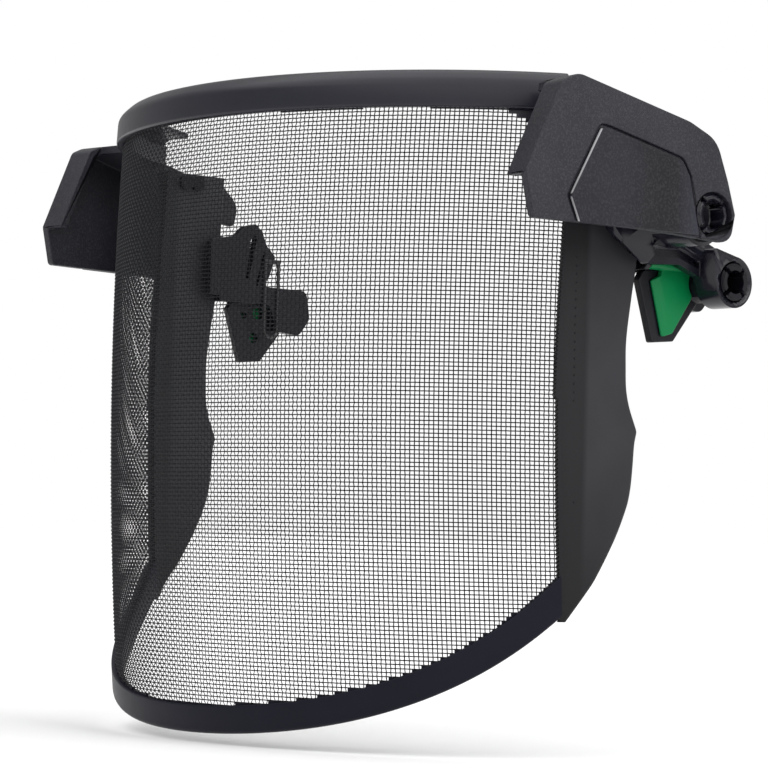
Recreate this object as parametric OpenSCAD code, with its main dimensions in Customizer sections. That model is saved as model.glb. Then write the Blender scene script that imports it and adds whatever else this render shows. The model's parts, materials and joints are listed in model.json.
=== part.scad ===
/* [Screen] */
// Plan radius of the curved screen, to the middle of the mesh
screen_r = 113.5; // [105:0.5:125]
// Half angle of the curved front
front_arc = 61; // [56:0.5:64]
// Plan radius of the bend between front and side panel
corner_r = 24; // [15:0.5:30]
// Direction of the side panel, 90 is straight back
panel_heading = 87; // [82:0.5:90]
// Distance from the helmet pivot axis to the screen's plan centre, towards the front
screen_ahead = 2; // [0:0.5:8]
// Thickness of the mesh as a plain sheet
mesh_t = 0.8; // [0.5:0.1:1]
// Height of the screen's middle bottom edge, inside the edging
screen_low = -127.8; // [-150:0.5:-110]
// Vertical radius of the bow from top to bottom
bow_r = 1080; // [600:20:3000]
// Height where the bow stands furthest forward
bow_z = -18; // [-40:1:20]

/* [Brow band] */
// Height of the band's lower edge above the helmet pivots
band_low = 45.5; // [43:0.5:60]
// Height of the band's upright face
band_face_h = 8.3; // [7:0.1:14]
// Height and depth of the sloped lip over the face
band_lip = 3.7; // [2:0.1:6]
// Wall of the band
band_t = 2.1; // [1.6:0.1:3]
// Depth of the band's top flange
band_flange = 8; // [6:0.5:12]

/* [Edging and panels] */
// Height of the edging along the bottom
edging_h = 8.8; // [6:0.1:14]
// Wall of the edging beside the mesh
edging_wall = 1.2; // [0.8:0.1:2]
// Clearance between the mesh and any slot that holds it
mesh_gap = 0.1; // [0.05:0.05:0.2]
// Thickness of a side panel
panel_t = 3; // [2.4:0.1:4]
// Where a side panel starts, past the end of the front arc
panel_start = 1.4; // [0.5:0.1:3]

/* [Covers] */
// Outer face of a cover at the visor pivot, from the middle
cover_x = 129.5; // [127:0.5:140]
// Turn of a cover's outer face towards the front
splay = 7.4; // [5:0.2:9]
// Wall of a cover
cover_wall = 2.8; // [2.4:0.1:3.4]
// Width of the lip along the front slope
lip_w = 9.5; // [6:0.5:12]
// Depth of the recess for the inset
inset_depth = 1; // [0.6:0.1:1.2]
// Groove round the inset
inset_groove = 0.9; // [0.5:0.1:1.5]

/* [Pivots] */
// Visor pivot, ahead of the helmet pivot
pivot_ahead = 22.2; // [20:0.1:26]
// Visor pivot, above the helmet pivot
pivot_up = 17; // [15:0.1:20]
// Radius of the visor pivot pins
visor_pin_r = 5.5; // [4.5:0.1:6]
// Radius of the helmet pivot pins
helmet_pin_r = 4.8; // [4:0.1:5.2]
// Wall of the hollow snap pins
pin_wall = 1.3; // [1:0.1:1.6]
// Running clearance of a pin in its bore
run_gap = 0.06; // [0.03:0.01:0.1]
// How far a snap lip stands out over its pin
snap_lip = 0.7; // [0.4:0.1:0.9]
// Width of the slits that split a snap pin
snap_slit = 1.5; // [1:0.1:2]

/* [Arms] */
// Inner face of the arm plate, from the middle
arm_x = 108.5; // [107.5:0.1:110]
// Thickness of the arm plate
arm_t = 3; // [2.5:0.1:3.5]
// Outer face of the arm at the helmet pivot, from the middle
boss_x = 116.5; // [114:0.5:119]
// Radius of the arm's end at the helmet pivot
boss_r = 7.6; // [7:0.1:8.5]
// Radius of the hub at the visor pivot
hub_r = 8.6; // [8:0.1:9.5]

/* [Slot clips and levers] */
// Inner face of the slot blade, from the middle
blade_x = 96; // [94:0.1:97]
// Thickness of the slot blade
blade_t = 3.4; // [3:0.1:3.8]
// Width of the slot blade
blade_w = 28; // [26:0.5:32]
// Height of the blade's top over the helmet pivot
blade_top = 29; // [25:0.5:32]
// Thickness of the black latch plate
plate_t = 2.6; // [2:0.1:3]
// Thickness of the coloured lever
insert_t = 1.8; // [1.4:0.1:2.2]
// Radius of the post that carries the helmet pivot pin
post_r = 5.6; // [5.2:0.1:6]
// Radius of the lever's hinge pin
lever_pin_r = 1; // [0.8:0.1:1.2]
// Wire radius of the latch spring
spring_wire_r = 0.5; // [0.4:0.05:0.7]

/* [Hidden] */
$fn = 48;

// Colours
black_pvc = [0.06, 0.06, 0.07];
black_shell = [0.09, 0.09, 0.1];
black_gloss = [0.05, 0.05, 0.06];
lever_green = [0, 0.42, 0.22];
steel = [0.6, 0.6, 0.62];

// Screen plan, measured along the middle of the mesh from the middle of the front
slack = 0.3;
centre_y = -screen_ahead;
front_s = screen_r * front_arc * PI / 180;
corner_s = front_s + corner_r * (panel_heading - front_arc) * PI / 180;
end_s = front_s + panel_start;
slot_half = mesh_t / 2 + mesh_gap;
band_top = band_low + band_face_h + band_lip;
band_end_s = front_s + 2;
screw_r = 1.4;
screw_drop = 3.7;
ear_low = band_low - 7.5;

// Latch plate, against the outer face of the blade
plate_x = blade_x + blade_t + 0.05;

// Pivots
pivot_y = -pivot_ahead;
pivot_z = pivot_up;

function heading(s) = sign(s) * (abs(s) < front_s ? abs(s) / screen_r * 180 / PI
    : min(panel_heading, front_arc + (abs(s) - front_s) / corner_r * 180 / PI));
function bow(z) = pow(z - bow_z, 2) / (2 * bow_r);
function bend_centre() = (screen_r - corner_r) * [sin(front_arc), -cos(front_arc)];
function bend_end() = bend_centre() + corner_r * [sin(panel_heading), -cos(panel_heading)];
function half_plan(s) = s < front_s ? screen_r * [sin(heading(s)), -cos(heading(s))]
    : s < corner_s ? bend_centre() + corner_r * [sin(heading(s)), -cos(heading(s))]
    : bend_end() + (s - corner_s) * [cos(panel_heading), sin(panel_heading)];
// Point at s along the plan, d outwards and z up
function at(s, d, z) = let (h = half_plan(abs(s)), a = heading(abs(s)))
    [sign(s) * (h.x + d * sin(a)), h.y - d * cos(a) + centre_y + bow(z), z];

// Lower edge of the open mesh, and its slope
function edge_z(s) = screen_low + 1.46e-3 * s * s + 8.2e-8 * pow(s, 4);
function edge_slope(s) = 2.92e-3 * s + 3.28e-7 * pow(s, 3);
function edging_z(s) = edge_z(s) - edging_h * sqrt(1 + pow(edge_slope(s), 2));

// Closed rings of equal length, skinned and capped; strip caps pair each point with the one across
module skin(rings, strip = false) {
    n = len(rings[0]);
    m = len(rings);
    walls = [for (i = [0:m - 2], j = [0:n - 1], k = [0, 1])
        let (a = i * n + j, b = i * n + (j + 1) % n)
        k == 0 ? [a, b, b + n] : [a, b + n, a + n]];
    cap = strip ? [for (k = [0:n / 2 - 2]) each [[k, k + 1, n - 2 - k], [k, n - 2 - k, n - 1 - k]]]
        : [[for (j = [0:n - 1]) j]];
    caps = [for (f = cap) each [[for (i = [len(f) - 1:-1:0]) f[i]], [for (j = f) (m - 1) * n + j]]];
    polyhedron([for (r = rings) each r], concat(walls, caps), convexity = 8);
}

function steps(from, to, count) = [for (i = [0:count]) from + (to - from) * i / count];
function unit(v) = v / norm(v);

// Outline with rounded corners, from entries [y, z, corner radius]
function rounded(pts, n = 5) = [for (i = [0:len(pts) - 1])
    let (q = pts[i], a = pts[(i + len(pts) - 1) % len(pts)], b = pts[(i + 1) % len(pts)],
        p = [q[0], q[1]], u = unit([a[0], a[1]] - p), v = unit([b[0], b[1]] - p),
        half = acos(u * v) / 2, r = q[2])
    each r == 0 ? [p] : let (c = p + unit(u + v) * r / sin(half),
        f = p + u * r / tan(half) - c, g = p + v * r / tan(half) - c,
        a0 = atan2(f.y, f.x), turn = atan2(f.x * g.y - f.y * g.x, f * g))
        [for (k = [0:n]) c + r * [cos(a0 + turn * k / n), sin(a0 + turn * k / n)]]];

// Side outline pushed out along X
module plate(x0, x1) {
    translate([x0, 0, 0]) rotate([90, 0, 90]) linear_extrude(x1 - x0) children();
}
module rod(x0, x1, r, y, z) {
    translate([x0, y, z]) rotate([0, 90, 0]) cylinder(h = x1 - x0, r = r);
}
module on_side(side) {
    mirror([side < 0 ? 1 : 0, 0, 0]) children();
}

module mesh_screen() {
    top = band_low + band_face_h - slack;
    color(steel, 0.6) skin([for (s = steps(-end_s + mesh_gap, end_s - mesh_gap, 60))
        let (rows = steps(edging_z(s) + edging_wall + slack, top, 12))
        concat([for (z = rows) at(s, mesh_t / 2, z)],
            [for (i = [12:-1:0]) at(s, -mesh_t / 2, rows[i])])], strip = true);
}

module brow_band() {
    crease = band_low + band_face_h;
    outer = slot_half + band_t;
    profile = [[slot_half, band_low], [outer - 0.5, band_low], [outer, band_low + 0.5], [outer, crease],
        [outer - band_lip, band_top], [outer - band_lip - band_flange, band_top],
        [outer - band_lip - band_flange, band_top - band_t],
        [outer - band_lip - 1.2, band_top - band_t], [slot_half, crease - 0.2]];
    color(black_pvc) difference() {
        union() {
            skin([for (s = steps(-band_end_s, band_end_s, 48)) [for (p = profile) at(s, p[0], p[1])]]);
            // ears outside the side panels
            for (side = [-1, 1]) on_side(side)
                skin([for (s = steps(front_s + 0.5, ear_end_s, 8))
                    let (high = s < front_s + 4 ? band_low + 2 : band_low - 1)
                    [for (p = [[ear_d, ear_low], [ear_d + band_t, ear_low], [ear_d + band_t, high],
                        [ear_d, high]]) at(s, p[0], p[1])]]);
        }
        for (side = [-1, 1]) on_side(side) screw_places() rod(-6, 12, screw_r + 0.2, 0, 0);
    }
}
ear_d = panel_t / 2 + mesh_gap;
ear_end_s = front_s + 21;

module screw_places() {
    for (s = [front_s + 12.5, front_s + 17.5])
        translate(at(s, 0, band_low - screw_drop)) rotate([0, 0, heading(s) - 90]) children();
}

module band_retainer() {
    low = band_low + 0.8;
    high = band_low + band_face_h - 0.9;
    color(black_pvc) skin([for (s = steps(-front_s, front_s, 48))
        [for (p = [[-slot_half - 1.6, low], [-slot_half, low], [-slot_half, high], [-slot_half - 1.6, high]])
            at(s, p[0], p[1])]]);
}

module lower_edging() {
    outer = slot_half + edging_wall;
    stations = steps(-end_s + slack, end_s - slack, 60);
    color(black_pvc) skin([for (s = stations)
        let (up = edge_z(s), low = edging_z(s), floor_z = low + edging_wall)
        [for (p = [[-outer, up], [-outer, low + 0.9], [-outer + 0.9, low], [outer - 0.9, low],
            [outer, low + 0.9], [outer, up], [slot_half, up], [slot_half, floor_z],
            [-slot_half, floor_z], [-slot_half, up]]) at(s, p[0], p[1])]]);
}

// Rear edge of a side panel: [z, distance along the plan past the open mesh]
panel_rear = [[-101, 3.4], [-96.5, 7], [-92.5, 10.5], [-88, 14.5], [-76.5, 22.2], [-67, 27], [-62, 28.5],
    [-56, 29.4], [-48.5, 30.1], [-44.5, 31], [-41.5, 30], [-38, 28.2], [-33, 27], [-27, 26.7],
    [-18.5, 26.7], [-6.5, 28.2], [6, 29.9], [25, 30.4], [band_low - 0.5, 30.5]];

module side_panel() {
    shoulder = 0.6;
    h = panel_t / 2;
    difference() {
        skin([for (row = panel_rear)
            let (z = row[0], far = front_s + row[1], knee = min(corner_s, far - 0.8),
                run = concat(steps(end_s, knee, 4), [(knee + far) / 2, far - 0.3]))
            concat([for (s = run) at(s, -h, z)], [at(far, -h + shoulder, z), at(far, h - shoulder, z)],
                [for (i = [len(run) - 1:-1:0]) at(run[i], h, z)])]);
        screw_places() rod(-6, 12, screw_r + 0.2, 0, 0);
    }
}
module side_panel_right() {
    color(black_pvc) side_panel();
}
module side_panel_left() {
    color(black_pvc) on_side(-1) side_panel();
}

// Side outline of a cover: [y, z, corner radius]
cover_outline = [[-85.1, 11.4, 1.5], [-45, 11, 0], [-16, 9.2, 4], [-14.4, 17.6, 0], [-17.2, 27, 0],
    [-21.5, 38.5, 9], [-31.3, 43, 12], [-70.6, 52.9, 6], [-76, 50.5, 3], [-88, 24, 2]];
inset_outline = [[-27.6, 10.8, 0], [-31.4, 27.2, 3], [-34, 31.6, 3], [-58.9, 38, 1.5],
    [-62.4, 38.6, 1.5], [-72.8, 18.6, 2], [-69.6, 11.2, 0]];

// Inner wall: its inner face from the middle, and its outline
inner_x = 105.3;
inner_outline = [[-34.4, 44, 1], [-34.4, 31.2, 1.5], [-18.6, 29, 1.5], [-17, 36.5, 5], [-27, 45.8, 8]];

// Outline moved inwards by d, each corner's radius with it
function inset(pts, d) = [for (i = [0:len(pts) - 1])
    let (n = len(pts), q = pts[i], e = pts[(i + n - 1) % n], f = pts[(i + 1) % n],
        a = [e[0], e[1]], p = [q[0], q[1]], b = [f[0], f[1]],
        u = unit(p - a), v = unit(b - p), nu = [-u.y, u.x], nv = [-v.y, v.x],
        c = p + (nu + nv) * d / (1 + nu * nv))
    [c.x, c.y, max(q[2] - d, 0)]];

module splayed() {
    translate([cover_x, pivot_y, 0]) rotate([0, 0, -splay]) translate([-cover_x, -pivot_y, 0]) children();
}
// Stretch of the cover's edge inside a box of [y, z] corners
module edge_strip(low, high) {
    intersection() {
        difference() {
            polygon(rounded(cover_outline));
            polygon(rounded(inset(cover_outline, cover_wall)));
        }
        translate(low) square(high - low);
    }
}

module cover() {
    root = cover_x - cover_wall + 0.5;
    tab_d = ear_d + band_t + slack;
    tab_s = concat(steps(front_s + 4.5, corner_s, 5), [front_s + 21.5]);
    tab = [for (d = [tab_d, tab_d + 3]) [for (s = tab_s) at(s, d, band_low - screw_drop)]];
    tab_plan = concat(tab[0], [for (i = [len(tab_s) - 1:-1:0]) tab[1][i]]);
    difference() {
        union() {
            splayed() {
                plate(cover_x - cover_wall, cover_x) polygon(rounded(cover_outline));
                // lip down the front slope, top flange and shallow rear flange
                plate(cover_x - lip_w, root) edge_strip([-100, 23.6], [-68, 60]);
                plate(cover_x - 20, root) edge_strip([-70.6, 40], [-31, 60]);
                plate(cover_x - 4.6, root) edge_strip([-33, 13.6], [0, 60]);
            }
            // inner wall behind the arm, bridged to the top flange
            plate(inner_x, inner_x + 2.6) polygon(rounded(inner_outline));
            plate(inner_x, inner_x + 7) polygon([[-34.4, 41], [-30.8, 40.2], [-30.8, 43], [-34.4, 43.9]]);
            // tab that the band's ear and the side panel are screwed to
            intersection() {
                translate([0, 0, ear_low - 0.5]) linear_extrude(band_low + 1 - ear_low)
                    polygon([for (q = tab_plan) [q.x, q.y]]);
                splayed() plate(cover_x - 34, cover_x) polygon(rounded(cover_outline));
            }
        }
        // pivot bore with a wider mouth outside
        rod(cover_x - 20, cover_x + 5, visor_pin_r + run_gap, pivot_y, pivot_z);
        rod(mouth_x, cover_x + 5, mouth_r, pivot_y, pivot_z);
        // recess for the inset
        splayed() plate(cover_x - inset_depth, cover_x + 1)
            polygon(rounded(inset(inset_outline, -inset_groove)));
        screw_places() rod(-6, 12, screw_r + 0.05, 0, 0);
    }
}
mouth_x = cover_x - 1.5;
mouth_r = visor_pin_r + snap_lip + 0.35;

module cover_right() {
    color(black_shell) cover();
}
module cover_left() {
    color(black_shell) on_side(-1) cover();
}

module cover_inset() {
    difference() {
        splayed() plate(cover_x - inset_depth + mesh_gap, cover_x + 0.5) polygon(rounded(inset_outline));
        rod(mouth_x, cover_x + 5, mouth_r, pivot_y, pivot_z);
    }
}
module cover_inset_right() {
    color(black_shell) cover_inset();
}
module cover_inset_left() {
    color(black_shell) on_side(-1) cover_inset();
}

module screw(seat, tip) {
    rod(seat - 1.6, seat, 2.6, 0, 0);
    rod(seat - 0.01, tip, screw_r, 0, 0);
}
module cover_screws() {
    color(steel) for (side = [-1, 1]) on_side(side) screw_places() screw(-panel_t / 2 - 0.05, 6);
}

// Hollow pin split into four fingers with a snap lip, along +X from x0
module snap_pin(x0, x1, r, y, z, lip_x) {
    difference() {
        union() {
            rod(x0, x1, r, y, z);
            rod(lip_x, x1 - 0.5, r + snap_lip, y, z);
        }
        rod(x0 + 1.5, x1 + 1, r - pin_wall, y, z);
        for (turn = [45, 135])
            translate([lip_x - 4, y, z]) rotate([turn, 0, 0])
                translate([0, -r - 2, -snap_slit / 2]) cube([x1 - lip_x + 5, 2 * r + 4, snap_slit]);
    }
}

// Arm plate outline under the cover, the slot over the lever, and the solid link to the helmet pivot
arm_outline = [[-30, 3.4, 3], [-18, 4, 0], [-9.5, 1.2, 0], [-2, -5, 0], [3, -1, 0], [1, 8.4, 2], [-8, 12, 3],
    [-15, 23, 3], [-30, 26.5, 4], [-42, 23, 4], [-45.5, 13, 2], [-40, 9, 4]];
slot_outline = [[-27.6, 5.8, 0.8], [-18, 6, 0], [-9.3, 3.2, 0.6], [-9.6, 5.6, 0.6],
    [-18, 8.4, 0], [-27.6, 8, 0.8]];
ridge_outline = [[-28.8, 8.8, 0], [-18, 9.2, 0], [-9.2, 6.4, 0], [-9.2, 9.2, 1],
    [-18, 12.4, 2], [-28, 11.6, 1.2]];
link_outline = [[-6, -4.6, 0], [-9, 0.5, 0], [-9.2, 9.8, 1.5], [1.5, 7.4, 0], [1.5, -7.4, 0]];

module arm() {
    difference() {
        union() {
            plate(arm_x, arm_x + arm_t) polygon(rounded(arm_outline));
            plate(arm_x, arm_x + arm_t + 1.8) polygon(rounded(ridge_outline));
            plate(arm_x, boss_x) polygon(rounded(link_outline));
            rod(arm_x - 0.4, boss_x, boss_r, 0, 0);
            rod(arm_x, hub_x, hub_r, pivot_y, pivot_z);
        }
        plate(arm_x - 1, arm_x + arm_t + 3) polygon(rounded(slot_outline));
        rod(arm_x - 5, boss_x + 5, helmet_pin_r + run_gap, 0, 0);
        rod(boss_x - 1.4, boss_x + 5, helmet_pin_r + snap_lip + 0.6, 0, 0);
    }
    snap_pin(hub_x - 4, cover_x - 0.3, visor_pin_r, pivot_y, pivot_z, mouth_x + 0.15);
}
ring_t = 0.8;
hub_x = cover_x - cover_wall - 2.6;

module arm_right() {
    color(black_gloss) arm();
}
module arm_left() {
    color(black_gloss) on_side(-1) arm();
}

module washer(x0, x1, r0, r1, y, z) {
    difference() {
        rod(x0, x1, r1, y, z);
        rod(x0 - 1, x1 + 1, r0, y, z);
    }
}
module friction_ring_upper(side) {
    color(steel) on_side(side)
        washer(hub_x + 0.05, hub_x + ring_t, visor_pin_r + 0.08, visor_pin_r + 2, pivot_y, pivot_z);
}
module friction_ring_upper_right() {
    friction_ring_upper(1);
}
module friction_ring_upper_left() {
    friction_ring_upper(-1);
}

seat_x = arm_x - 0.4 - ring_t - 0.1;
module friction_ring_lower(side) {
    color(steel) on_side(side)
        washer(seat_x + 0.05, seat_x + ring_t + 0.02, helmet_pin_r + 0.08, helmet_pin_r + 2, 0, 0);
}
module friction_ring_lower_right() {
    friction_ring_lower(1);
}
module friction_ring_lower_left() {
    friction_ring_lower(-1);
}

// Slot clip: blade up into the helmet's slot, beam, pivot post with its snap pin, and two ears
beam_outline = [[-31, 2, 1], [-9, 2, 2], [-6, -7, 2], [4, -8, 3], [8.6, -2, 3], [7, 8, 3], [-31, 8.4, 1]];
blade_rear = -7.1;
blade_outline = [[blade_rear - blade_w, 4, 0], [blade_rear - 7.4, 4, 0], [blade_rear - 2.4, 12, 1],
    [blade_rear, 18.9, 1.5], [blade_rear - 4, blade_top - 6.5, 2], [blade_rear - 6, blade_top - 1.8, 1],
    [blade_rear - 9, blade_top + 0.7, 1.2], [blade_rear - 13.5, blade_top - 0.6, 1.2],
    [blade_rear - 17, blade_top - 4, 2], [blade_rear - blade_w, blade_top - 6, 2]];
blade_window = [[blade_rear - 12.6, 10.5], [blade_rear - 11.4, 10.5], [blade_rear - 8.2, blade_top - 4],
    [blade_rear - 10.6, blade_top - 2.6]];
blade_slit = [[blade_rear - 8.4, 7.5], [blade_rear - 7.6, 7.5], [blade_rear - 4.4, 20.5],
    [blade_rear - 5.2, 20.5]];
ear_front = -24.4;
ear_rear = -1.6;
ear_t = 2;
lever_in = plate_x + plate_t + mesh_gap;
hinge_x = lever_in + insert_t / 2;
hinge_z = 4.8;
knuckle_r = 1.9;

module slot_clip() {
    difference() {
        union() {
            plate(blade_x, blade_x + blade_t) polygon(rounded(beam_outline));
            plate(blade_x, blade_x + blade_t) difference() {
                polygon(rounded(blade_outline));
                polygon(blade_window);
                polygon(blade_slit);
            }
            rod(blade_x, seat_x, post_r, 0, 0);
            for (y = [ear_front, ear_rear - ear_t])
                translate([0, y + ear_t, 0]) rotate([90, 0, 0]) linear_extrude(ear_t)
                    polygon([[blade_x + 1, hinge_z - 2.2], [hinge_x + 0.6, hinge_z - 2.2],
                        [hinge_x + 1.8, hinge_z - 1], [hinge_x + 1.8, hinge_z + 1.4],
                        [hinge_x + 0.6, hinge_z + 2.4], [blade_x + 1, hinge_z + 2.4]]);
            snap_pin(seat_x - 3, boss_x + 0.6, helmet_pin_r, 0, 0, boss_x - 1.2);
        }
        translate([hinge_x, 0, hinge_z]) rotate([90, 0, 0]) cylinder(h = 60, r = lever_pin_r, center = true);
    }
}
module slot_clip_right() {
    color(black_gloss) slot_clip();
}
module slot_clip_left() {
    color(black_gloss) on_side(-1) slot_clip();
}

// Wire loop on the beam's inner face, which keeps the blade from backing out of the slot
module latch_spring(side) {
    y0 = -12;
    y1 = -6.4;
    low = -6.4;
    bend_r = (y1 - y0) / 2;
    color(black_gloss) on_side(side) translate([blade_x - spring_wire_r - mesh_gap, 0, 0]) {
        for (y = [y0, y1]) translate([0, y, low]) cylinder(h = 23, r = spring_wire_r);
        translate([0, y0 + bend_r, low]) rotate([0, 90, 0]) rotate([0, 0, -90])
            rotate_extrude(angle = 180) translate([bend_r, 0]) circle(r = spring_wire_r);
        translate([-spring_wire_r, y0 - 0.5, low + 22.5]) cube([2 * spring_wire_r, y1 - y0 + 1, 1.6]);
    }
}
module latch_spring_right() {
    latch_spring(1);
}
module latch_spring_left() {
    latch_spring(-1);
}

// Outlines of the black latch plate and the coloured lever over it
latch_outline = [[-18.9, -18.4, 0.8], [-10.2, -17.6, 0.8], [0.6, -4.4, 2], [-1.4, 4, 1], [-22, 4, 1],
    [-24.8, -0.2, 1]];
lever_outline = [[-15.8, -16.6, 0.8], [-12.4, -15.4, 1], [-4.6, -4.6, 2], [-4.6, 2, 2], [-7, 7.4, 1],
    [-15.5, 7.4, 1], [-17.5, 1.4, 0.5], [-20.6, -0.4, 0.4]];
windows = [[-17.6, -2, 1.1], [-11.5, -1, 2.2], [-13.2, -9.6, 1.7]];

module latch_plate() {
    difference() {
        plate(plate_x, plate_x + plate_t) polygon(rounded(latch_outline));
        for (w = windows) rod(plate_x - 1, plate_x + plate_t + 1, w[2], w[0], w[1]);
        rod(plate_x - 1, plate_x + plate_t + 1, post_r + mesh_gap / 2, 0, 0);
        translate([hinge_x, 0, hinge_z]) rotate([90, 0, 0])
            cylinder(h = 60, r = knuckle_r + slack, center = true);
        // room for the clip's ears
        for (y = [ear_front, ear_rear - ear_t])
            translate([plate_x - 1, y - mesh_gap, hinge_z - 2.2 - mesh_gap])
                cube([plate_t + 2, ear_t + 2 * mesh_gap, 5]);
    }
}
module latch_plate_right() {
    color(black_gloss) latch_plate();
}
module latch_plate_left() {
    color(black_gloss) on_side(-1) latch_plate();
}

module release_lever() {
    front = ear_front + ear_t + slack;
    rear = ear_rear - ear_t - slack;
    difference() {
        union() {
            plate(lever_in, lever_in + insert_t) polygon(rounded(lever_outline));
            translate([hinge_x, rear, hinge_z]) rotate([90, 0, 0]) cylinder(h = rear - front, r = knuckle_r);
        }
        translate([hinge_x, 0, hinge_z]) rotate([90, 0, 0])
            cylinder(h = 60, r = lever_pin_r + run_gap, center = true);
        rod(lever_in - 3, lever_in + insert_t + 3, post_r + slack, 0, 0);
    }
}
module release_lever_right() {
    color(lever_green) release_lever();
}
module release_lever_left() {
    color(lever_green) on_side(-1) release_lever();
}

module lever_pin(side) {
    color(steel) on_side(side) translate([hinge_x, ear_rear, hinge_z]) rotate([90, 0, 0])
        cylinder(h = ear_rear - ear_front, r = lever_pin_r);
}
module lever_pin_right() {
    lever_pin(1);
}
module lever_pin_left() {
    lever_pin(-1);
}

mesh_screen();
brow_band();
band_retainer();
lower_edging();
side_panel_right();
side_panel_left();
cover_right();
cover_left();
cover_inset_right();
cover_inset_left();
cover_screws();
arm_right();
arm_left();
friction_ring_upper_right();
friction_ring_upper_left();
friction_ring_lower_right();
friction_ring_lower_left();
slot_clip_right();
slot_clip_left();
latch_spring_right();
latch_spring_left();
latch_plate_right();
latch_plate_left();
release_lever_right();
release_lever_left();
lever_pin_right();
lever_pin_left();
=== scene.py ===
"""Builds the looks of a wire-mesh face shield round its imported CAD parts.

Lengths inside the plan of the screen are millimetres, and everything that reaches a mesh is in metres.
"""
import json
import logging
import math
from dataclasses import dataclass, field
from enum import Enum
from typing import Callable, Dict, Iterable, List, Optional, Sequence, Tuple, Union

import bmesh  # noqa: E402
import bpy  # noqa: E402
from mathutils import Matrix, Vector  # noqa: E402
from mathutils.bvhtree import BVHTree  # noqa: E402

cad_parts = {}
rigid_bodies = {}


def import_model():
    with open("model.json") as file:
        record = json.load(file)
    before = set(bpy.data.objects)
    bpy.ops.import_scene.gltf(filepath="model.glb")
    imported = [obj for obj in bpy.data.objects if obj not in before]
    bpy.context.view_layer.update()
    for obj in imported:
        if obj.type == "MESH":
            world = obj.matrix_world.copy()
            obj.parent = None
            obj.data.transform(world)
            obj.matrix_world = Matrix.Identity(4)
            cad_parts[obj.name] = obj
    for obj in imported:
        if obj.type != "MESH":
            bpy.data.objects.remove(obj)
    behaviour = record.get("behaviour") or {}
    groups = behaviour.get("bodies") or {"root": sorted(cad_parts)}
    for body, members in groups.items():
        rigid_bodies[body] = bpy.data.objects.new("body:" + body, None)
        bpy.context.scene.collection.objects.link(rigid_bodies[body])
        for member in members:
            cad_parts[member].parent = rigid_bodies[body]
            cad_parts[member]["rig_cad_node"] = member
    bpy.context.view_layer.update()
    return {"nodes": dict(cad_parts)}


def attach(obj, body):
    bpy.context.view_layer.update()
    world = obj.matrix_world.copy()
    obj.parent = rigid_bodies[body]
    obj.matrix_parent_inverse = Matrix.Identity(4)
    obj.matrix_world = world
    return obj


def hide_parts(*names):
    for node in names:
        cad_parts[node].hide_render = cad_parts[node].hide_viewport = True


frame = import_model()
LOG = logging.getLogger("face_shield")
MM = 0.001
Section = List[Tuple[float, float]]

# Pitch of the upright and level wires, and the height of the top wire, in millimetres
PITCH_S = 1.373
PITCH_Z = 1.2
WIRE_TOP = 53.4
# Round zone at the helmet pivot whose edges stay sharp: y, z and radius in millimetres
HELMET_PIVOT = (0.0, 0.0, 6.9)


class Side(Enum):
    """The two sides of the shield, as seen from the front."""

    RIGHT = 1
    LEFT = -1

    @property
    def suffix(self) -> str:
        """Ending of this side's node names."""
        return self.name.lower()


class Weave(Enum):
    """The two sets of wires in the cloth."""

    UPRIGHT = 0
    LEVEL = 1


# ---------------------------------------------------------------- materials


class Value:
    """A shader socket that takes part in Python arithmetic by adding Math nodes."""

    def __init__(self, graph: "Graph", socket: bpy.types.NodeSocket) -> None:
        self.graph = graph
        self.socket = socket

    def _math(self, operation: str, *others: object, clamp: bool = False) -> "Value":
        """Adds one Math node.

        Args:
            operation: the node's operation.
            others: its inputs, as Values or numbers, in order.
            clamp: whether the result is clamped to 0..1.

        Returns:
            The node's output.
        """
        inputs = dict(enumerate(others))
        return self.graph.node("ShaderNodeMath", {"operation": operation, "use_clamp": clamp}, inputs)

    def __add__(self, other: object) -> "Value":
        return self._math("ADD", self, other)

    __radd__ = __add__

    def __sub__(self, other: object) -> "Value":
        return self._math("SUBTRACT", self, other)

    def __rsub__(self, other: object) -> "Value":
        return self._math("SUBTRACT", other, self)

    def __mul__(self, other: object) -> "Value":
        return self._math("MULTIPLY", self, other)

    __rmul__ = __mul__

    def least(self, other: "Value") -> "Value":
        """Returns the smaller of two values.

        Args:
            other: the other value.
        """
        return self._math("MINIMUM", self, other)

    def over(self, low: float, high: float) -> "Value":
        """Ramp from 0 at low to 1 at high.

        Args:
            low: the value that gives 0.
            high: the value that gives 1.

        Returns:
            The clamped ramp.
        """
        return self._math("MULTIPLY_ADD", self, 1 / (high - low), -low / (high - low), clamp=True)


Colour = Union[Value, Sequence[float]]


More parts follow.
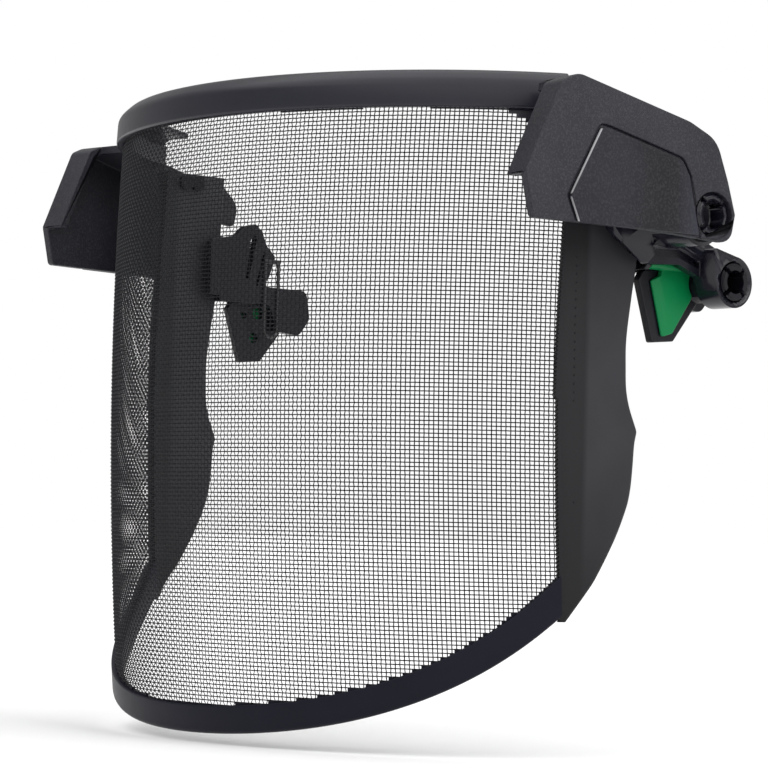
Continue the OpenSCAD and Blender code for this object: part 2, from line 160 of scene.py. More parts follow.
class Graph:
    """The node tree of one material."""

    def __init__(self, name: str) -> None:
        self.material = bpy.data.materials.new(name)
        self.material.use_nodes = True
        self.tree = self.material.node_tree
        self.tree.nodes.clear()

    def node(self, kind: str, settings: Optional[dict] = None, inputs: Optional[dict] = None,
             output: object = 0) -> Value:
        """Makes one node.

        Args:
            kind: the node's type.
            settings: attributes, set before the sockets.
            inputs: socket name or index to a Value or a plain value.
            output: the output to return, by name or index.

        Returns:
            The chosen output as a Value.
        """
        made = self.tree.nodes.new(kind)
        for key, value in (settings or {}).items():
            setattr(made, key, value)
        for key, value in (inputs or {}).items():
            if isinstance(value, Value):
                self.tree.links.new(value.socket, made.inputs[key])
            else:
                made.inputs[key].default_value = value
        return Value(self, made.outputs[output])

    def position(self) -> Value:
        """Returns the place in the object's own frame, in metres."""
        return self.node("ShaderNodeTexCoord", output="Object")

    def noise(self, place: Value, scale: float, detail: float = 2.0) -> Value:
        """Returns noise at a place.

        Args:
            place: the coordinates.
            scale: features per metre.
            detail: octaves.
        """
        return self.node("ShaderNodeTexNoise", {}, {"Vector": place, "Scale": scale, "Detail": detail})

    def along(self, axis: int) -> Value:
        """Returns one coordinate of the place, in metres.

        Args:
            axis: 0, 1 or 2 for X, Y or Z.
        """
        return self.node("ShaderNodeSeparateXYZ", {}, {0: self.position()}, output=axis)

    def tint(self, factor: Value, low: "Colour", high: "Colour") -> Value:
        """Returns a colour between two others.

        Args:
            factor: 0 for low and 1 for high.
            low: linear RGB, or a colour made by other nodes.
            high: linear RGB, or a colour made by other nodes.
        """
        ends = [c if isinstance(c, Value) else (*c, 1.0) for c in (low, high)]
        return self.node("ShaderNodeMix", {"data_type": "RGBA"}, {0: factor, 6: ends[0], 7: ends[1]}, output=2)

    def finish(self, shader: dict) -> bpy.types.Material:
        """Closes the tree with a Principled shader.

        Args:
            shader: the shader's socket values and links.

        Returns:
            The finished material.
        """
        surface = self.node("ShaderNodeBsdfPrincipled", {}, shader, output="BSDF")
        self.node_output(surface)
        return self.material

    def node_output(self, surface: Value) -> None:
        """Links a shader to the material output.

        Args:
            surface: the shader.
        """
        made = self.tree.nodes.new("ShaderNodeOutputMaterial")
        self.tree.links.new(surface.socket, made.inputs["Surface"])


@dataclass(frozen=True)
class Finish:
    """A surface finish: colour, gloss, the grain moulded or worn into it, and the painted shade and painted highlight
    put into its colour.
    """

    name: str
    colour: Tuple[float, float, float]
    roughness: float
    grain: float = 0.0
    grain_size: float = 0.0004
    mottle: float = 0.12
    metallic: float = 0.0
    specular: float = 0.5
    coat: float = 0.0
    speckle: float = 0.0
    # Painted shade and painted highlight: (axis, start, end, factor) ramps that scale the colour along one axis
    shades: Tuple[Tuple[int, float, float, float], ...] = ()
    # Painted highlight: (y weight, z weight, reach) of each edge line drawn as a pale line
    rim: Tuple[Tuple[float, float, float], ...] = ()

    def make(self) -> bpy.types.Material:
        """Returns the finish as a material on Object coordinates."""
        g = Graph(self.name)
        place = g.position()
        cloud = g.noise(place, 60.0, 3.0)
        low = [c * (1 - self.mottle) for c in self.colour]
        high = [c * (1 + self.mottle) for c in self.colour]
        base = g.tint(cloud.over(0.3, 0.7), low, high)
        # Painted shade and painted highlight: each ramp scales the colour by its factor along one axis
        for axis, start, end, painted_factor in self.shades:
            base = g.tint(g.along(axis).over(start * MM, end * MM), base, [c * painted_factor for c in self.colour])
        if self.speckle:
            dots = g.noise(place, 1.0 / (1.4 * self.grain_size), 1.0).over(0.45, 0.75)
            base = g.tint(dots * self.speckle, base, [0.05 + c for c in self.colour])
        # Painted highlight: the colour turns pale near the nearer of two edge lines, along the inset's left edge
        if self.rim:
            inside = [g.along(1) * y + g.along(2) * z - reach * MM for y, z, reach in self.rim]
            base = g.tint(inside[0].least(inside[1]).over(0.5 * MM, 0.36 * MM), base, (0.5, 0.5, 0.52))
        shader = {
            "Base Color": base,
            "Roughness": self.roughness - 0.04 + g.noise(place, 350.0) * 0.08,
            "Metallic": self.metallic,
            "Specular IOR Level": self.specular,
            "Coat Weight": self.coat,
            "Coat Roughness": 0.12,
        }
        if self.grain:
            fine = g.noise(place, 1.0 / self.grain_size, 1.0)
            shader["Normal"] = g.node("ShaderNodeBump", {}, {
                "Strength": self.grain, "Distance": 0.0001, "Height": fine})
        return g.finish(shader)


FINISHES = {
    "wire": Finish("coated_wire", (0.006, 0.006, 0.009), 0.4, mottle=0.2, specular=0.25),
    "band": Finish("band_plastic", (0.009, 0.009, 0.016), 0.33, grain=0.08, grain_size=0.0006, specular=0.4),
    "edging": Finish("soft_edging", (0.006, 0.006, 0.013), 0.42, grain=0.08, grain_size=0.0008, specular=0.14),
    # Painted light: the side panels use a lighter copy of the edging plastic whose slot they share; painted shade
    # darkens the front strip before the bend, and the colour grows darker towards the bottom
    "panel": Finish("soft_panel", (0.027, 0.027, 0.031), 0.5, grain=0.06, grain_size=0.001, specular=0.22,
                    shades=((1, -45.4, -47.4, 0.4), (2, -50.0, -100.0, 0.25))),
    "cover": Finish("cover_shell", (0.011, 0.011, 0.017), 0.46, grain=0.5, grain_size=0.00045, mottle=0.25,
                    specular=0.34, speckle=0.35),
    # Painted shade and painted highlight: the inset darkens from its front towards y -42 mm and turns lighter than its
    # own colour behind y -29 mm
    "inset": Finish("cover_inset", (0.010, 0.010, 0.016), 0.44, grain=0.5, grain_size=0.00045, mottle=0.25,
                    specular=0.26, speckle=0.3, shades=((1, -56.0, -42.0, 0.3), (1, -37.0, -29.0, 1.8)),
                    # Painted highlight lines along the inset's left edge
                    rim=((0.8872, -0.4614, -73.17), (0.9179, 0.3969, -59.44))),
    "gloss": Finish("arm_plastic", (0.006, 0.006, 0.011), 0.22, grain=0.04, grain_size=0.0008, specular=0.4),
    "clip": Finish("clip_plastic", (0.005, 0.005, 0.008), 0.32, grain=0.04, grain_size=0.0008, specular=0.3),
    "green": Finish("lever_green", (0.0006, 0.17, 0.05), 0.4, grain=0.05, grain_size=0.0007, mottle=0.06,
                    specular=0.2),
    "steel": Finish("steel", (0.02, 0.02, 0.022), 0.45, metallic=1.0, mottle=0.05),
    "spring": Finish("spring_wire", (0.02, 0.02, 0.022), 0.3),
}


# ---------------------------------------------------------------- shape of the screen


@dataclass(frozen=True)
class Plan:
    """The curved plan of the screen: a front arc, a tight bend and a straight side, bowed from top to bottom."""

    radius: float = 113.5
    front_arc: float = 61.0
    bend_radius: float = 24.0
    side_heading: float = 87.0
    ahead: float = 2.0
    bow_radius: float = 1080.0
    bow_z: float = -18.0
    low: float = -127.8
    band_low: float = 45.5
    band_face: float = 8.3
    band_lip: float = 3.7
    edging_high: float = 8.8
    edging_wall: float = 1.2
    slot_half: float = 0.5

    @property
    def front_s(self) -> float:
        """Distance along the plan to the end of the front arc."""
        return self.radius * math.radians(self.front_arc)

    @property
    def end_s(self) -> float:
        """Distance along the plan to where a side panel starts."""
        return self.front_s + 1.4

    @property
    def corner_s(self) -> float:
        """Distance along the plan to the end of the bend."""
        return self.front_s + self.bend_radius * math.radians(self.side_heading - self.front_arc)

    def heading(self, s: float) -> float:
        """Returns the outward direction at s, in radians from straight ahead."""
        far = abs(s)
        if far < self.front_s:
            turn = far / self.radius
        else:
            turn = min(math.radians(self.side_heading),
                       math.radians(self.front_arc) + (far - self.front_s) / self.bend_radius)
        return math.copysign(turn, s)

    def at(self, s: float, d: float, z: float) -> Vector:
        """Point of the screen.

        Args:
            s: distance along the plan from the middle of the front.
            d: distance outwards.
            z: height.

        Returns:
            The point in metres, in the shared frame.
        """
        far, turn = abs(s), abs(self.heading(s))
        if far < self.front_s:
            x, y = self.radius * math.sin(turn), -self.radius * math.cos(turn)
        else:
            arc = math.radians(self.front_arc)
            inner = self.radius - self.bend_radius
            x = inner * math.sin(arc) + self.bend_radius * math.sin(turn)
            y = -inner * math.cos(arc) - self.bend_radius * math.cos(turn)
            rest = max(0.0, far - self.corner_s)
            x += rest * math.cos(turn)
            y += rest * math.sin(turn)
        x += d * math.sin(turn)
        y -= d * math.cos(turn)
        bow = (z - self.bow_z) ** 2 / (2 * self.bow_radius)
        return Vector((math.copysign(x, s), y - self.ahead + bow, z)) * MM

    def edge(self, s: float) -> float:
        """Returns the height of the open mesh's lower edge at s."""
        return self.low + 1.46e-3 * s * s + 8.2e-8 * s ** 4

    def edging(self, s: float) -> float:
        """Returns the height of the edging's underside at s."""
        slope = 2.92e-3 * s + 3.28e-7 * s ** 3
        return self.edge(s) - self.edging_high * math.sqrt(1 + slope * slope)

    def mesh_low(self, s: float) -> float:
        """Returns the height where the cloth ends inside the edging or a side panel, at s."""
        return self.edging(s) + self.edging_wall + 0.3


PLAN = Plan()


def row_over(z: float) -> float:
    """Returns the height of the level wire at or next above z."""
    return WIRE_TOP - math.floor((WIRE_TOP - z) / PITCH_Z) * PITCH_Z


def spread(low: float, high: float, count: int) -> List[float]:
    """Returns count + 1 evenly spaced values from low to high."""
    return [low + (high - low) * i / count for i in range(count + 1)]


def eased(table: Sequence[Tuple[float, float]], x: float) -> float:
    """Reads a smooth curve through the rows of a table.

    Args:
        table: (x, value) rows in rising x.
        x: where to read.

    Returns:
        The value, by Catmull-Rom between the rows.
    """
    if x <= table[0][0]:
        return table[0][1]
    for i in range(len(table) - 1):
        (x0, v0), (x1, v1) = table[i], table[i + 1]
        if x <= x1:
            t = (x - x0) / (x1 - x0)
            before = table[max(i - 1, 0)]
            after = table[min(i + 2, len(table) - 1)]
            m0 = (v1 - before[1]) / (x1 - before[0]) * (x1 - x0)
            m1 = (after[1] - v0) / (after[0] - x0) * (x1 - x0)
            t2, t3 = t * t, t * t * t
            return ((2 * t3 - 3 * t2 + 1) * v0 + (t3 - 2 * t2 + t) * m0
                    + (3 * t2 - 2 * t3) * v1 + (t3 - t2) * m1)
    return table[-1][1]


# ---------------------------------------------------------------- making pieces


def make_object(name: str, bm: bmesh.types.BMesh, sharp: float = 35.0) -> bpy.types.Object:
    """Turns a bmesh into a smooth-shaded object.

    Args:
        name: the piece's name.
        bm: the finished shape; it is freed.
        sharp: edges over this angle in degrees stay sharp.

    Returns:
        The object, linked to the scene.
    """
    mesh = bpy.data.meshes.new(name)
    bm.to_mesh(mesh)
    bm.free()
    mesh.shade_smooth()
    mesh.set_sharp_from_angle(angle=math.radians(sharp))
    made = bpy.data.objects.new(name, mesh)
    bpy.context.scene.collection.objects.link(made)
    return made


def grid(columns: int, rows: int, place: Callable[[int, int], Vector]) -> bmesh.types.BMesh:
    """Makes a grid and moves each of its vertices.

    Args:
        columns: faces one way.
        rows: faces the other way.
        place: gives a vertex's place from its column and row.

    Returns:
        The moved grid.
    """
    bm = bmesh.new()
    bmesh.ops.create_grid(bm, x_segments=columns, y_segments=rows, size=1.0)
    for vertex in bm.verts:
        column = round((vertex.co.x + 1) / 2 * columns)
        row = round((vertex.co.y + 1) / 2 * rows)
        vertex.co = place(column, row)
    return bm


def loft(name: str, sections: Sequence[Sequence[Vector]], sharp: float = 35.0) -> bpy.types.Object:
    """Makes a closed solid through sections with equal numbers of points.

    Args:
        name: the piece's name.
        sections: closed outlines, one after another.
        sharp: edges over this angle in degrees stay sharp.

    Returns:
        The piece.
    """
    count = len(sections[0])
    bm = grid(count, len(sections) - 1, lambda i, j: sections[j][i % count])
    bmesh.ops.remove_doubles(bm, verts=bm.verts, dist=1e-7)
    ends = [edge for edge in bm.edges if edge.is_boundary]
    bmesh.ops.holes_fill(bm, edges=ends, sides=0)
    bmesh.ops.recalc_face_normals(bm, faces=bm.faces)
    return make_object(name, bm, sharp)


def along(name: str, stations: Iterable[float], section: Callable[[float], Section],
          sharp: float = 35.0) -> bpy.types.Object:
    """Sweeps a section of (outwards, height) points along the screen's plan.

    Args:
        name: the piece's name.
        stations: distances along the plan.
        section: gives the section at a station.
        sharp: edges over this angle in degrees stay sharp.

    Returns:
        The piece.
    """
    return loft(name, [[PLAN.at(s, d, z) for d, z in section(s)] for s in stations], sharp)


def fillet(corners: Sequence[Tuple[float, float, float]], count: int = 4) -> Section:
    """Rounds the corners of an outline.

    Args:
        corners: (across, up, radius) entries.
        count: segments round each corner.

    Returns:
        The rounded outline.
    """
    out: Section = []
    n = len(corners)
    for i, (x, y, radius) in enumerate(corners):
        p = Vector((x, y))
        u = (Vector(corners[i - 1][:2]) - p).normalized()
        v = (Vector(corners[(i + 1) % n][:2]) - p).normalized()
        if radius <= 0:
            out.append((x, y))
            continue
        half = u.angle(v) / 2
        reach = radius / math.tan(half)
        centre = p + (u + v).normalized() * radius / math.sin(half)
        start, end = p + u * reach - centre, p + v * reach - centre
        turn = start.angle_signed(end)
        for k in range(count + 1):
            angle = -turn * k / count
            out.append(tuple(centre + Matrix.Rotation(angle, 2) @ start))
    return out


def softened(node: str, width: float, angle: float = 32.0, segments: int = 2,
             clear: Sequence[Tuple[float, float, float]] = (),
             reshape: Optional[Callable[[bmesh.types.BMesh], None]] = None) -> bpy.types.Object:
    """Copies a CAD part's mesh and rounds its sharp edges.

    Args:
        node: the CAD node, which the copy replaces.
        width: reach of the rounding in millimetres.
        angle: edges over this angle in degrees are rounded.
        segments: faces across each rounding.
        clear: (y, z, radius) of round zones in millimetres whose edges stay as they are.
        reshape: changes the rounded shape before it is finished.

    Returns:
        The piece.
    """
    def free(edge: bmesh.types.BMEdge) -> bool:
        y, z = ((edge.verts[0].co + edge.verts[1].co) / 2 / MM).yz
        return all(math.hypot(y - cy, z - cz) > radius for cy, cz, radius in clear)

    bm = bmesh.new()
    bm.from_mesh(frame["nodes"][node].data)
    bmesh.ops.remove_doubles(bm, verts=bm.verts, dist=2e-6)
    if width:
        shape = BVHTree.FromBMesh(bm)
        bmesh.ops.dissolve_limit(bm, angle_limit=math.radians(1.0), verts=bm.verts, edges=bm.edges)
        sharp = [e for e in bm.edges if len(e.link_faces) == 2
                 and e.calc_face_angle(0.0) > math.radians(angle) and e.calc_length() > 2e-5 and free(e)]
        bmesh.ops.bevel(bm, geom=sharp, offset=width * MM, offset_type="OFFSET", segments=segments, profile=0.5,
                        affect="EDGES", clamp_overlap=False, material=-1)
        for vertex in bm.verts:
            near, _, _, away = shape.find_nearest(vertex.co)
            if away > 0.45 * width * MM:
                vertex.co = near
        bmesh.ops.remove_doubles(bm, verts=bm.verts, dist=2e-6)
    if reshape:
        reshape(bm)
    bmesh.ops.recalc_face_normals(bm, faces=bm.faces)
    made = make_object("soft_" + node, bm, 42.0)
    weighted = made.modifiers.new("even_shading", "WEIGHTED_NORMAL")
    weighted.keep_sharp = True
    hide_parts(node)
    return made


class Part:
    """What the sub-assemblies share: pieces are finished and hung on a body."""

    materials: Dict[str, bpy.types.Material] = {}

    def build(self) -> None:
        """Makes the pieces; a part shown as it is in the CAD makes none."""

    def dress(self) -> None:
        """Finishes the pieces."""

    @classmethod
    def place(cls, made: bpy.types.Object, body: str, finish: str, slot: str) -> bpy.types.Object:
        """Gives a piece its finish and its body.

        Args:
            made: the piece.
            body: the CAD body it rides on.
            finish: key of FINISHES.
            slot: the record's material slot; not used.

        Returns:
            The piece.
        """
        if finish not in cls.materials:
            cls.materials[finish] = FINISHES[finish].make()
        made.data.materials.clear()
        made.data.materials.append(cls.materials[finish])
        if "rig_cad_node" not in made:
            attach(made, body)
        LOG.info("%s: %d faces on %s", made.name, len(made.data.polygons), body)
        return made


# ---------------------------------------------------------------- the sub-assemblies


@dataclass
class WovenScreen(Part):
    """The cloth of crimped wires, in four pieces."""

    wire: float = 0.17
    crimp: float = 0.31
    pieces: List[bpy.types.Object] = field(default_factory=list)

    def columns(self) -> List[int]:
        """Returns the numbers of the upright wires."""
        reach = int((PLAN.end_s + 1.5) / PITCH_S)
        return list(range(-reach, reach + 1))

    def rows(self) -> List[int]:
        """Returns the numbers of the level wires, from the top down."""
        return list(range(int((WIRE_TOP - PLAN.edging(0.0) - PLAN.edging_wall) / PITCH_Z)))

    def crossing(self, column: int, row: int, weave: Weave) -> Optional[Vector]:
        """Returns the place of a wire where two wires cross, or None outside the cloth.

        Args:
            column: number of the upright wire.
            row: number of the level wire.
            weave: which of the two wires.
        """
        s, z = column * PITCH_S, WIRE_TOP - row * PITCH_Z
        if z < PLAN.mesh_low(s):
            return None
        over = 1 if (column + row + weave.value) % 2 else -1
        return PLAN.at(s, over * self.crimp, z)

    def runs(self, weave: Weave, side: Side) -> List[List[Vector]]:
        """Lists the crossings that each wire of one half of one set runs through.

        Args:
            weave: the set.
            side: the half.

        Returns:
            One list of places for each wire.
        """
        columns = [c for c in self.columns() if c * side.value >= 0]
        if weave is Weave.UPRIGHT:
            found = [[self.crossing(c, r, weave) for r in self.rows()] for c in columns if c or side is Side.RIGHT]
        else:
            found = [[self.crossing(c, r, weave) for c in columns] for r in self.rows()]
        inside = [[p for p in run if p is not None] for run in found]
        return [points for points in inside if len(points) > 1]

    def wires(self, weave: Weave, side: Side) -> bpy.types.Object:
        """Makes one half of one set of wires.

        Args:
            weave: the set.
            side: the half.

        Returns:
            The piece.
        """
        curve = bpy.data.curves.new("wires", "CURVE")
        curve.dimensions = "3D"
        curve.bevel_depth = self.wire * MM
        curve.bevel_resolution = 0
        for points in self.runs(weave, side):
            spline = curve.splines.new("POLY")
            spline.points.add(len(points) - 1)
            spline.points.foreach_set("co", [x for p in points for x in (*p, 1.0)])
        drawn = bpy.data.objects.new("wires", curve)
        bpy.context.scene.collection.objects.link(drawn)
        mesh = bpy.data.meshes.new_from_object(drawn.evaluated_get(bpy.context.evaluated_depsgraph_get()))
        bpy.data.objects.remove(drawn)
        mesh.shade_smooth()
        made = bpy.data.objects.new(f"wires_{weave.name.lower()}_{side.suffix}", mesh)
        bpy.context.scene.collection.objects.link(made)
        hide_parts("mesh_screen")
        return made

    def build(self) -> None:
        """Makes the four pieces."""
        for weave in Weave:
            for side in Side:
                self.pieces.append(self.wires(weave, side))

    def dress(self) -> None:
        """Finishes the wires."""
        for made in self.pieces:
            self.place(made, "visor", "wire", "woven_mesh")


@dataclass
class Surround(Part):
    """What frames the cloth: brow band, retainer, lower edging and side panels."""

    panel_half: float = 1.5
    flash_half: float = 0.42
    flash_top: float = 47.4
    flash_row: float = 45.7
    flash_runs: Tuple[Tuple[str, float, float], ...] = (("middle", 37.3, 63.6), ("right", 83.5, 106.0),
                                                        ("left", -90.0, -71.0))
    flash_steps: Tuple[Tuple[float, float, float], ...] = (
        (106.0, 108.7, 44.7), (108.7, 111.4, 43.5), (111.4, 113.3, 42.3), (113.3, 116.0, 41.1),
        (116.0, 119.0, 39.9), (119.0, 123.0, 38.7))
    panel_rear: Tuple[Tuple[float, float], ...] = (
        (-101, 3.4), (-96.5, 7), (-92.5, 10.5), (-88, 14.5), (-76.5, 22.2), (-67, 27), (-62, 28.5),
        (-56, 29.4), (-48.5, 30.2), (-45.6, 30.9), (-44.9, 31.0), (-44.0, 30.7), (-38, 28.2), (-33, 27), (-27, 26.7),
        (-18.5, 26.7), (-6.5, 28.2), (6, 29.9), (25, 30.4), (45, 30.5))
    band: List[bpy.types.Object] = field(default_factory=list)
    edging: List[bpy.types.Object] = field(default_factory=list)
    panels: List[bpy.types.Object] = field(default_factory=list)

    def band_section(self, _: float) -> Section:
        """Returns the brow band's section: upright face, sloped lip and top flange."""
        low, crease = PLAN.band_low + 0.5, PLAN.band_low + PLAN.band_face
        top = crease + PLAN.band_lip
        outer = PLAN.slot_half + 2.1
        back = outer - PLAN.band_lip
        return fillet([(PLAN.slot_half, low, 0.2), (outer, low, 0.9), (outer, crease, 3.4), (back, top, 4.2),
                       (back - 8, top, 0.8), (back - 8, top - 2.1, 0.5), (back - 1.2, top - 2.1, 0.4),
                       (PLAN.slot_half, crease - 0.2, 0.2)])

    def edging_section(self, s: float) -> Section:
        """Returns the lower edging's section at s, a soft U round the cloth's edge.

        Args:
            s: distance along the plan.
        """
        up, low = PLAN.edge(s) - 0.5, PLAN.edging(s)
        outer = PLAN.slot_half + PLAN.edging_wall
        return fillet([(-outer, up, 0.3), (-outer, low, 1.3), (outer, low, 1.3), (outer, up, 0.5),
                       (0.1, up + 0.05, 0.05), (-0.1, up + 0.05, 0.05)])

    def dimples(self, side: Side) -> bpy.types.Object:
        """Makes the column of small moulded dots on a side panel's front strip.

        Args:
            side: the side it is on.

        Returns:
            The piece.
        """
        bm = bmesh.new()
        for z in [*spread(-37, 4, 17), -66.0]:
            place = PLAN.at(side.value * (PLAN.front_s + 7.0), self.panel_half - 0.05, z)
            bmesh.ops.create_icosphere(bm, subdivisions=2, radius=0.32 * MM, matrix=Matrix.Translation(place))
        return make_object("panel_dots_" + side.suffix, bm, 60.0)

    @staticmethod
    def panel_front(z: float) -> float:
        """Returns where a side panel's front edge runs at z, past the front arc."""
        return 1.2 + (z + 36) * 0.033 if z > -36 else 2.0

    def flash(self, name: str, cells: Sequence[Tuple[float, float, float, float]]) -> bpy.types.Object:
        """Makes the thin skin of plastic that fills some openings of the cloth.

        Args:
            name: the piece's name.
            cells: (start, end, underside, top) of each filled run, in order along the plan.

        Returns:
            The piece.
        """
        sections = []
        half = self.flash_half
        for start, end, low, high in cells:
            outline = ((-half, low), (half, low), (half, high), (-half, high))
            for s in (start + 0.02, end - 0.02):
                sections.append([PLAN.at(s, d, z) for d, z in outline])
        return loft(name, sections, 30.0)

    def flashes(self) -> None:
        """Adds the filled openings along the band and the lower edging."""
        count = int(PLAN.end_s / PITCH_S)
        cells = []
        for c in range(-count, count + 1):
            s = c * PITCH_S
            cells.append((s - PITCH_S / 2, s + PITCH_S / 2, PLAN.edge(s) - 2.5, row_over(PLAN.edge(s) - 0.75) - 0.1))
        self.edging.append(self.flash("edging_flash", cells))
        top = self.flash_top
        self.band.append(self.flash("band_flash_corner", [(a, b, z, top) for a, b, z in self.flash_steps]))
        for name, first, last in self.flash_runs:
            lengths = spread(first, last, 12)
            self.band.append(self.flash("band_flash_" + name, [
                (a, b, self.flash_row, top) for a, b in zip(lengths, lengths[1:])]))

    def panel(self, side: Side) -> bpy.types.Object:
        """Makes one side panel, rounded along its front and rear edges.

        Args:
            side: which side.

        Returns:
            The piece.
        """
        sections = []
        levels = [row_over(-101) + k * PITCH_Z / 2 for k in range(243)]
        for k, z in enumerate(levels):
            far = eased(self.panel_rear, z)
            start = self.panel_front(z) + (0.12 if k % 2 else -0.28)
            half = min(self.panel_half, (far - start) / 2.5)
            knee = min(PLAN.corner_s - PLAN.front_s, max(far - 2, far * 0.6))
            inner = [start + (knee - start) * t for t in (0.12, 0.4, 0.7, 1.0)] + [(knee + far - half) / 2]
            out: Section = [(s, -half) for s in inner]
            out += [(far - half + half * math.cos(a), half * math.sin(a)) for a in spread(-math.pi / 2, math.pi / 2, 6)]
            out += [(s, half) for s in reversed(inner)]
            out += [(start + 0.5 - 0.5 * math.cos(a), half * math.sin(a)) for a in spread(1.1, -1.1, 4)]
            sections.append([PLAN.at(side.value * (PLAN.front_s + s), d, z) for s, d in out])
        return loft("panel_" + side.suffix, sections)

    def build(self) -> None:
        """Makes the band, retainer, edging and panels."""
        end = PLAN.front_s + 2
        self.band.append(along("band", spread(-end, end, 96), self.band_section))
        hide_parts("brow_band")
        low, high = PLAN.band_low + 0.8, PLAN.band_low + PLAN.band_face - 0.9
        strip = [(-2.1, low, 0.5), (-PLAN.slot_half, low, 0.1), (-PLAN.slot_half, high, 0.1), (-2.1, high, 0.5)]
        self.band.append(along("retainer", spread(-PLAN.front_s, PLAN.front_s, 96), lambda s: fillet(strip)))
        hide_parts("band_retainer")
        end = PLAN.end_s + 1.2
        self.edging.append(along("edging", spread(-end, end, 120), self.edging_section))
        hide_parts("lower_edging")
        for side in Side:
            made = self.panel(side)
            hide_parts("side_panel_" + side.suffix)
            self.panels += [made, self.dimples(side)]
            self.band.append(self.ear(side))
        self.flashes()

    def ear(self, side: Side) -> bpy.types.Object:
        """Makes the band's ear outside a side panel.

        Args:
            side: which side.

        Returns:
            The piece.
        """
        section = fillet([(1.6, 38, 0.3), (3.7, 38, 0.6), (3.7, 44.8, 0.6), (1.6, 44.8, 0.3)])
        stations = spread(PLAN.front_s + 0.5, PLAN.front_s + 21, 12)
        return along("band_ear_" + side.suffix, [side.value * s for s in stations], lambda s: section)

    def dress(self) -> None:
        """Finishes the surround."""
        for made in self.band:
            self.place(made, "visor", "band", "band_plastic")
        for made in self.edging:
            self.place(made, "visor", "edging", "soft_edging")
        for made in self.panels:
            # The panels take the edging's slot but the lighter, painted-lit copy of its plastic
            self.place(made, "visor", "panel", "soft_edging")


@dataclass
class CoverSet(Part):
    """One side's cover and its inset."""

    side: Side
    shell: Optional[bpy.types.Object] = None
    inset: Optional[bpy.types.Object] = None

    def build(self) -> None:
        """Makes the cover and the inset."""
        self.shell = softened("cover_" + self.side.suffix, 0.5, segments=3)
        self.inset = softened("cover_inset_" + self.side.suffix, 0.45)

    def dress(self) -> None:
        """Finishes them."""
        self.place(self.shell, "visor", "cover", "cover_plastic")
        self.place(self.inset, "visor", "inset", "inset_plastic")


@dataclass
class ArmSet(Part):
    """One side's arm and its two friction rings."""

    side: Side
    arm: Optional[bpy.types.Object] = None
    web: Optional[bpy.types.Object] = None
    web_x: Tuple[float, float] = (108.7, 109.5)
    web_path: Tuple[Tuple[float, float, float], ...] = ((-28.2, 5.3, 8.5), (-18.0, 5.4, 9.0), (-9.0, 2.6, 6.2))

    def build(self) -> None:
        """Makes the arm and the thin web at the back of its slot."""
        self.arm = softened("arm_" + self.side.suffix, 0.0)
        inner, outer = (self.side.value * x for x in self.web_x)
        self.web = loft("slot_web_" + self.side.suffix, [
            [Vector((x, y, z)) * MM for x, z in ((inner, low), (outer, low), (outer, high), (inner, high))]
            for y, low, high in self.web_path], 30.0)

    def dress(self) -> None:
        """Finishes the arm and rings."""
        body = "arm_" + self.side.suffix
        self.place(self.arm, body, "gloss", "arm_plastic")
        self.place(self.web, body, "gloss", "arm_plastic")
        for level in ("upper", "lower"):
            self.place(frame["nodes"][f"friction_ring_{level}_{self.side.suffix}"], body, "steel", "steel")


@dataclass
class ClipSet(Part):
    """One side's slot clip with its spring, latch plate, pin and release lever."""

    side: Side
    fixed: List[bpy.types.Object] = field(default_factory=list)
    lever: Optional[bpy.types.Object] = None
    fold: Tuple[float, float, float, float] = (-17.4, -1.4, -13.4, -15.8)
    fold_top: float = 0.6
    fold_slope: float = 0.42
    fold_depth: float = 1.0
    face_x: float = 103.2

    def facet(self, bm: bmesh.types.BMesh) -> None:
        """Slopes the front strip of the lever's outer face.

        Args:
            bm: the lever.
        """
        y0, z0, y1, z1 = self.fold
        across = Vector((0.0, z1 - z0, -(y1 - y0))).normalized()
        bmesh.ops.bisect_plane(bm, geom=bm.verts[:] + bm.edges[:] + bm.faces[:],
                               plane_co=(0, y0 * MM, z0 * MM), plane_no=across)
        for vertex in bm.verts:
            past = (vertex.co / MM - Vector((0, y0, z0))).dot(across)
            if past > 0 and vertex.co.z < self.fold_top * MM and abs(vertex.co.x) > self.face_x * MM:
                vertex.co.x -= self.side.value * min(past * self.fold_slope, self.fold_depth) * MM

    def build(self) -> None:
        """Makes the clip, plate and lever."""
        end = self.side.suffix
        self.fixed = [softened("slot_clip_" + end, 0.25, clear=[HELMET_PIVOT]), softened("latch_plate_" + end, 0.3)]
        self.lever = softened("release_lever_" + end, 0.3, reshape=self.facet)

    def dress(self) -> None:
        """Finishes all of them."""
        end = self.side.suffix
        for made in self.fixed:
            self.place(made, "helmet_clips", "clip", "clip_plastic")
        self.place(frame["nodes"]["latch_spring_" + end], "helmet_clips", "spring", "spring_wire")
        self.place(frame["nodes"]["lever_pin_" + end], "helmet_clips", "steel", "steel")
        self.place(self.lever, "lever_" + end, "green", "green_plastic")


@dataclass
class Screws(Part):
    """The four screws that hold band, panels and covers together, shown as they are in the CAD."""

    def dress(self) -> None:
        """Finishes them."""
        self.place(frame["nodes"]["cover_screws"], "visor", "steel", "steel")


# ---------------------------------------------------------------- stage


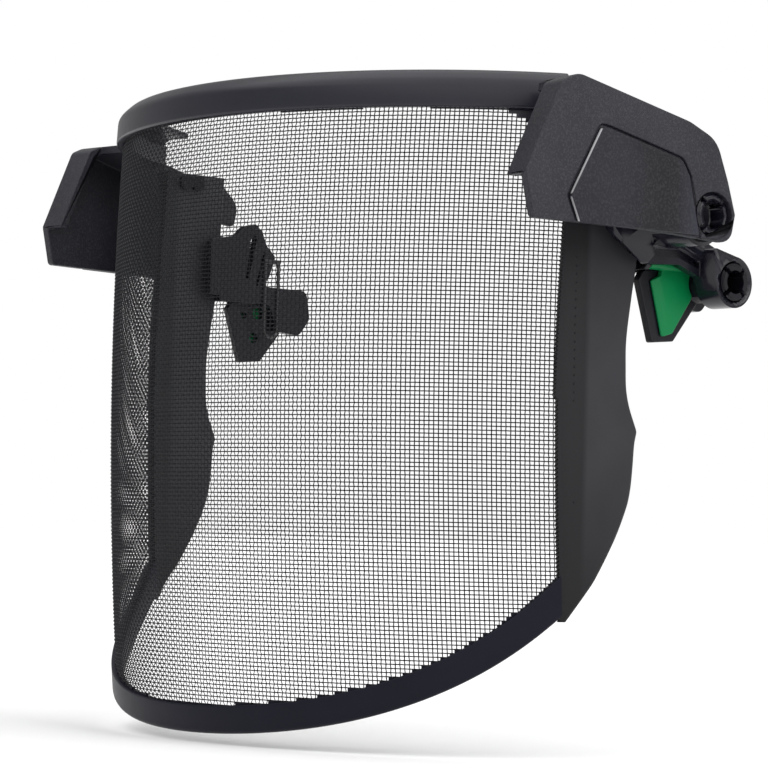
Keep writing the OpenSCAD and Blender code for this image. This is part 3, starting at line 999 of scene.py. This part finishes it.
@dataclass
class Stage:
    """Floor, light and camera."""

    floor_z: float = -0.1395
    camera_at: Tuple[float, float, float] = (0.7162, -0.6266, -0.0765)
    right: Tuple[float, float, float] = (0.6369568, 0.77048456, 0.02528978)
    up: Tuple[float, float, float] = (0.02323339, -0.05197693, 0.99837799)
    back: Tuple[float, float, float] = (0.77054931, -0.63533608, -0.05100803)
    lens: float = 138.0

    def floor(self) -> None:
        """Makes the plain pale floor."""
        bm = bmesh.new()
        bmesh.ops.create_grid(bm, x_segments=1, y_segments=1, size=30.0)
        bmesh.ops.translate(bm, verts=bm.verts, vec=(0, 0, self.floor_z))
        made = make_object("floor", bm)
        g = Graph("pale_floor")
        cloud = g.noise(g.position(), 3.0)
        made.data.materials.append(g.finish({
            "Base Color": g.tint(cloud, (0.93, 0.93, 0.93), (0.95, 0.95, 0.95)), "Roughness": 0.9,
            "Specular IOR Level": 0.0}))

    def world(self) -> None:
        """Makes the white surroundings."""
        world = bpy.data.worlds.new("studio")
        world.use_nodes = True
        tree = world.node_tree
        tree.nodes.clear()
        ray = tree.nodes.new("ShaderNodeLightPath")
        seen, lit = (tree.nodes.new("ShaderNodeBackground") for _ in range(2))
        seen.inputs["Strength"].default_value = 1.0
        lit.inputs["Strength"].default_value = 0.45
        for one in (seen, lit):
            one.inputs["Color"].default_value = (1.0, 1.0, 1.0, 1.0)
        mix, out = tree.nodes.new("ShaderNodeMixShader"), tree.nodes.new("ShaderNodeOutputWorld")
        tree.links.new(ray.outputs["Is Camera Ray"], mix.inputs[0])
        tree.links.new(lit.outputs[0], mix.inputs[1])
        tree.links.new(seen.outputs[0], mix.inputs[2])
        tree.links.new(mix.outputs[0], out.inputs["Surface"])
        bpy.context.scene.world = world

    def sun(self, direction: Vector, strength: float, spread_deg: float) -> None:
        """Makes the even key light, which lights all of the floor alike.

        Args:
            direction: from the object to the light.
            strength: in watts a square metre.
            spread_deg: its softness in degrees.
        """
        data = bpy.data.lights.new("key_light", "SUN")
        data.energy = strength
        data.angle = math.radians(spread_deg)
        self.aim(data, direction)

    @staticmethod
    def aim(data: bpy.types.Light, place: Vector) -> None:
        """Stands a light at a place and turns it to the object.

        Args:
            data: the light.
            place: where it stands, in metres.
        """
        made = bpy.data.objects.new(data.name, data)
        made.location = place
        made.rotation_mode = "QUATERNION"
        made.rotation_quaternion = (-place).to_track_quat("-Z", "Y")
        bpy.context.scene.collection.objects.link(made)

    def lamp(self, name: str, place: Vector, size: float, power: float) -> None:
        """Makes a soft square light aimed at the object.

        Args:
            name: its name.
            place: where it stands.
            size: its side in metres.
            power: in watts.
        """
        data = bpy.data.lights.new(name, "AREA")
        data.size = size
        data.energy = power
        self.aim(data, place)

    def camera(self) -> None:
        """Makes the camera."""
        data = bpy.data.cameras.new("camera")
        data.lens = self.lens
        data.sensor_width = 36.0
        data.clip_start, data.clip_end = 0.05, 100.0
        made = bpy.data.objects.new("camera", data)
        axes = Matrix((self.right, self.up, self.back)).transposed()
        made.matrix_world = Matrix.Translation(self.camera_at) @ axes.to_4x4()
        bpy.context.scene.collection.objects.link(made)
        bpy.context.scene.camera = made

    def build(self) -> None:
        """Makes the whole stage."""
        self.floor()
        self.world()
        self.sun(Vector((0.35, -0.2, 1.0)), 2.6, 120.0)
        self.lamp("side_light", Vector((1.9, 0.5, 0.8)), 1.2, 8.0)
        self.camera()
        bpy.context.scene.view_settings.view_transform = "Standard"


def main() -> None:
    """Builds and dresses every sub-assembly, then the stage."""
    logging.basicConfig(level=logging.INFO, format="%(name)s %(message)s")
    parts = [WovenScreen(), Surround(), Screws()]
    for side in Side:
        parts += [CoverSet(side), ArmSet(side), ClipSet(side)]
    for part in parts:
        part.build()
        part.dress()
    Stage().build()


if __name__ == "__main__":
    main()
